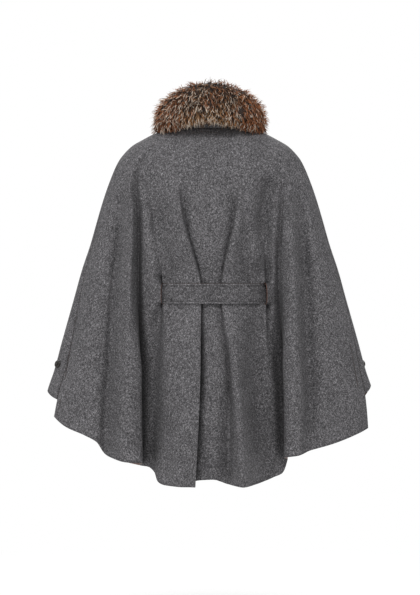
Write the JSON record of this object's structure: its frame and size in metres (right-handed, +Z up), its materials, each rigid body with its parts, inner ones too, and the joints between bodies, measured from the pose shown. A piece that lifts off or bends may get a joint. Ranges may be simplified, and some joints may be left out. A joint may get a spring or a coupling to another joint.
{
  "type": "wool cape coat",
  "caption": "Flared wool cape coat with a fur collar, a belt through slits at the waist and an open pleat down the back, hollow as if worn.",
  "frame": {"origin": "middle of the neck opening at the height of the back neck seam, where the wearer's neck and shoulders hold the coat", "axes": "+Z up, +X to the wearer's left, the back faces +Y and the front faces -Y"},
  "size_m": [0.7765, 0.2959, 0.9601],
  "materials": {
    "wool": "brushed charcoal wool with a light and dark fleck, soft and matte",
    "lining": "rust-brown lining with a soft sheen",
    "fur": "dense brown fur with dark roots and cream tips",
    "horn": "dark horn, satin, with paler streaks"
  },
  "bodies": {
    "root": {"back_panel": "wool", "front_left": "wool", "front_right": "wool", "collar_stand": "wool", "collar_fur": "fur", "belt": "wool", "button_front_1": "horn", "button_front_2": "horn", "button_front_3": "horn", "button_front_4": "horn", "button_belt": "horn", "button_vent_left": "horn", "button_vent_right": "horn"}
  },
  "joints": []
}
